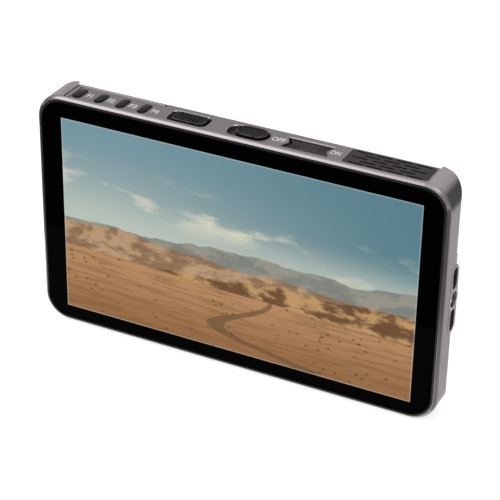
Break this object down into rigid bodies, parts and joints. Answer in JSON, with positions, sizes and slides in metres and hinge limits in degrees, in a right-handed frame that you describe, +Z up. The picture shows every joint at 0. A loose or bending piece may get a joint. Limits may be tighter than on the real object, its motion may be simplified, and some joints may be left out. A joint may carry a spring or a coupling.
{
  "type": "camera field monitor",
  "caption": "Slim rectangular monitor with a glass front, keys and sliders along its top edge, tripod threads below and at its side, and a battery plate behind.",
  "frame": {"origin": "mouth of the bottom tripod thread, on the bottom face", "axes": "+X to the right seen from in front, +Y from the screen back into the body, +Z up"},
  "size_m": [0.1377, 0.0198, 0.0809],
  "materials": {
    "body_metal": "bead-blasted grey anodising",
    "front_glass": "glossy hard glass",
    "gasket_rubber": "matt black",
    "lcd_cell": "lit display",
    "tray_black": "matt black",
    "frame_alloy": "raw cast",
    "board_laminate": "solder mask",
    "chip_resin": "moulded resin",
    "sink_alloy": "black anodising",
    "shield_steel": "tinned",
    "socket_steel": "nickel plated",
    "socket_plastic": "moulded black",
    "switch_plastic": "moulded black",
    "grille_metal": "dark grey paint",
    "speaker_plastic": "moulded black",
    "insert_steel": "turned steel",
    "cover_metal": "bead-blasted grey anodising",
    "plate_plastic": "moulded black",
    "terminal_plastic": "moulded black",
    "contact_brass": "gold plated",
    "screw_steel": "black zinc",
    "pad_plastic": "fine satin black",
    "slider_plastic": "satin dark grey",
    "release_plastic": "moulded black",
    "key_plastic": "satin black"
  },
  "bodies": {
    "monitor": {"housing": "body_metal", "cover_glass": "front_glass", "glass_gasket": "gasket_rubber", "lcd_panel": "lcd_cell", "backlight": "tray_black", "mid_frame": "frame_alloy", "main_board": "board_laminate", "processor": "chip_resin", "heat_sink": "sink_alloy", "memory_chips": "chip_resin", "shield_can": "shield_steel", "dc_jack": "socket_plastic", "usb_socket": "socket_steel", "video_in_socket": "socket_steel", "video_out_socket": "socket_steel", "headphone_jack": "socket_plastic", "switch_board": "board_laminate", "tact_switches": "switch_plastic", "jog_switch": "switch_plastic", "lock_switch": "switch_plastic", "power_switch": "switch_plastic", "speaker_grille": "grille_metal", "speaker": "speaker_plastic", "side_insert": "insert_steel", "bottom_insert": "insert_steel", "rear_cover": "cover_metal", "battery_plate": "plate_plastic", "terminal_block": "terminal_plastic", "battery_contacts": "contact_brass", "cover_screws": "screw_steel", "board_screws": "screw_steel", "frame_screws": "screw_steel", "switch_board_screws": "screw_steel", "plate_screws": "screw_steel"},
    "f1_key": {"key_f1": "key_plastic"},
    "f2_key": {"key_f2": "key_plastic"},
    "f3_key": {"key_f3": "key_plastic"},
    "f4_key": {"key_f4": "key_plastic"},
    "jog": {"jog_key": "pad_plastic"},
    "lock": {"lock_slider": "pad_plastic"},
    "power": {"power_slider": "slider_plastic"},
    "release": {"battery_release": "release_plastic"}
  },
  "joints": [
    {"name": "f1_press", "type": "slide", "parent": "monitor", "child": "f1_key", "axis": [0, 0, -1], "range_m": [0, 0.0004], "stiffness_N_per_m": 2000},
    {"name": "f2_press", "type": "slide", "parent": "monitor", "child": "f2_key", "axis": [0, 0, -1], "range_m": [0, 0.0004], "stiffness_N_per_m": 2000},
    {"name": "f3_press", "type": "slide", "parent": "monitor", "child": "f3_key", "axis": [0, 0, -1], "range_m": [0, 0.0004], "stiffness_N_per_m": 2000},
    {"name": "f4_press", "type": "slide", "parent": "monitor", "child": "f4_key", "axis": [0, 0, -1], "range_m": [0, 0.0004], "stiffness_N_per_m": 2000},
    {"name": "jog_slide", "type": "slide", "parent": "monitor", "child": "jog", "axis": [1, 0, 0], "range_m": [-0.0006, 0.0006], "stiffness_N_per_m": 900},
    {"name": "lock_slide", "type": "slide", "parent": "monitor", "child": "lock", "axis": [-1, 0, 0], "range_m": [0, 0.0024]},
    {"name": "power_slide", "type": "slide", "parent": "monitor", "child": "power", "axis": [-1, 0, 0], "range_m": [0, 0.001]},
    {"name": "release_press", "type": "slide", "parent": "monitor", "child": "release", "axis": [0, -1, 0], "range_m": [0, 0.0022], "stiffness_N_per_m": 600}
  ]
}
